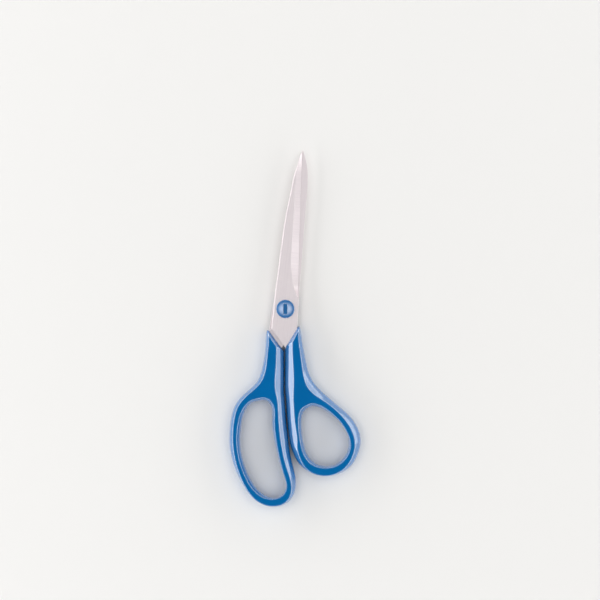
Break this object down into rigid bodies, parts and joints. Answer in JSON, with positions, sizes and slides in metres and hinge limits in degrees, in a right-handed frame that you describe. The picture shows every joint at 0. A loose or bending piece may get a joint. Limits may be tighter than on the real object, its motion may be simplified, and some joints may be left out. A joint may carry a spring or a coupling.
{
  "type": "household shears",
  "caption": "Straight household shears with steel blades, moulded plastic handles with finger bows, and a screwed pivot that opens and closes.",
  "frame": {"origin": "middle of the underside of the bounding box of the closed shears, which lie flat on their back", "axes": "+X towards the thumb bow, +Y towards the blade tips, +Z out of the front of the shears"},
  "size_m": [0.0792, 0.215, 0.011],
  "materials": {
    "blade_steel": "satin ground stainless steel",
    "pivot_steel": "zinc plated steel",
    "handle_plastic": "glossy moulded blue plastic",
    "cap_plastic": "glossy moulded blue plastic",
    "washer_nylon": "natural nylon"
  },
  "bodies": {
    "finger_half": {"finger_handle": "handle_plastic", "back_blade": "blade_steel", "pivot_screw": "pivot_steel", "pivot_nut": "pivot_steel", "spring_washer": "pivot_steel", "blade_washer": "washer_nylon", "pivot_cap": "cap_plastic", "nut_cap": "cap_plastic"},
    "thumb_half": {"thumb_handle": "handle_plastic", "front_blade": "blade_steel"}
  },
  "joints": [
    {"name": "pivot", "type": "hinge", "parent": "finger_half", "child": "thumb_half", "pos_m": [-0.0058, 0.01188, 0.0055], "axis": [0, 0, 1], "range_deg": [0, 100]}
  ]
}
